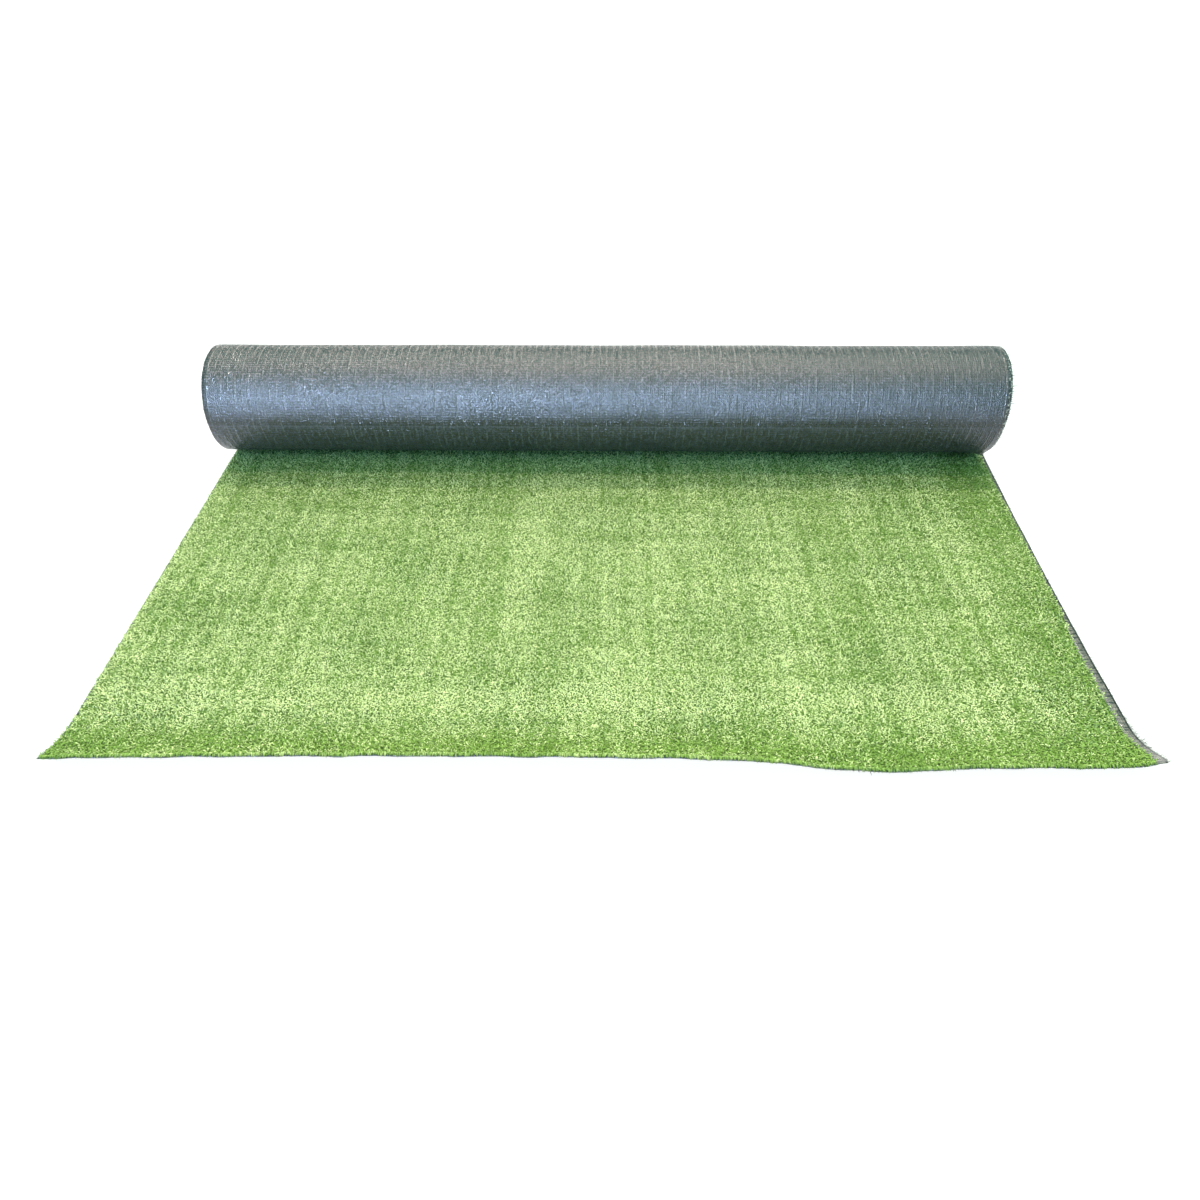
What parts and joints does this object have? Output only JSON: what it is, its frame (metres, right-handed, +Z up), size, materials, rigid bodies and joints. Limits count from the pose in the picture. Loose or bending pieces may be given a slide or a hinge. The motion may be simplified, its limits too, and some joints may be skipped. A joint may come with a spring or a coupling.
{
  "type": "roll of artificial grass",
  "caption": "Tufted artificial grass sheet wound with its pile inwards into a bored roll, with a laid open stretch whose front edge curls up.",
  "frame": {"origin": "on the floor, in the middle of the footprint of roll and laid stretch", "axes": "+X along the roll, +Y from the laid stretch towards the roll, +Z up"},
  "size_m": [2, 1.2166, 0.2754],
  "materials": {
    "backing": "woven polypropylene with a coated grey face",
    "pile": "short curled yarn tufts"
  },
  "bodies": {
    "root": {"turf_backing": "backing", "turf_pile": "pile"}
  },
  "joints": []
}
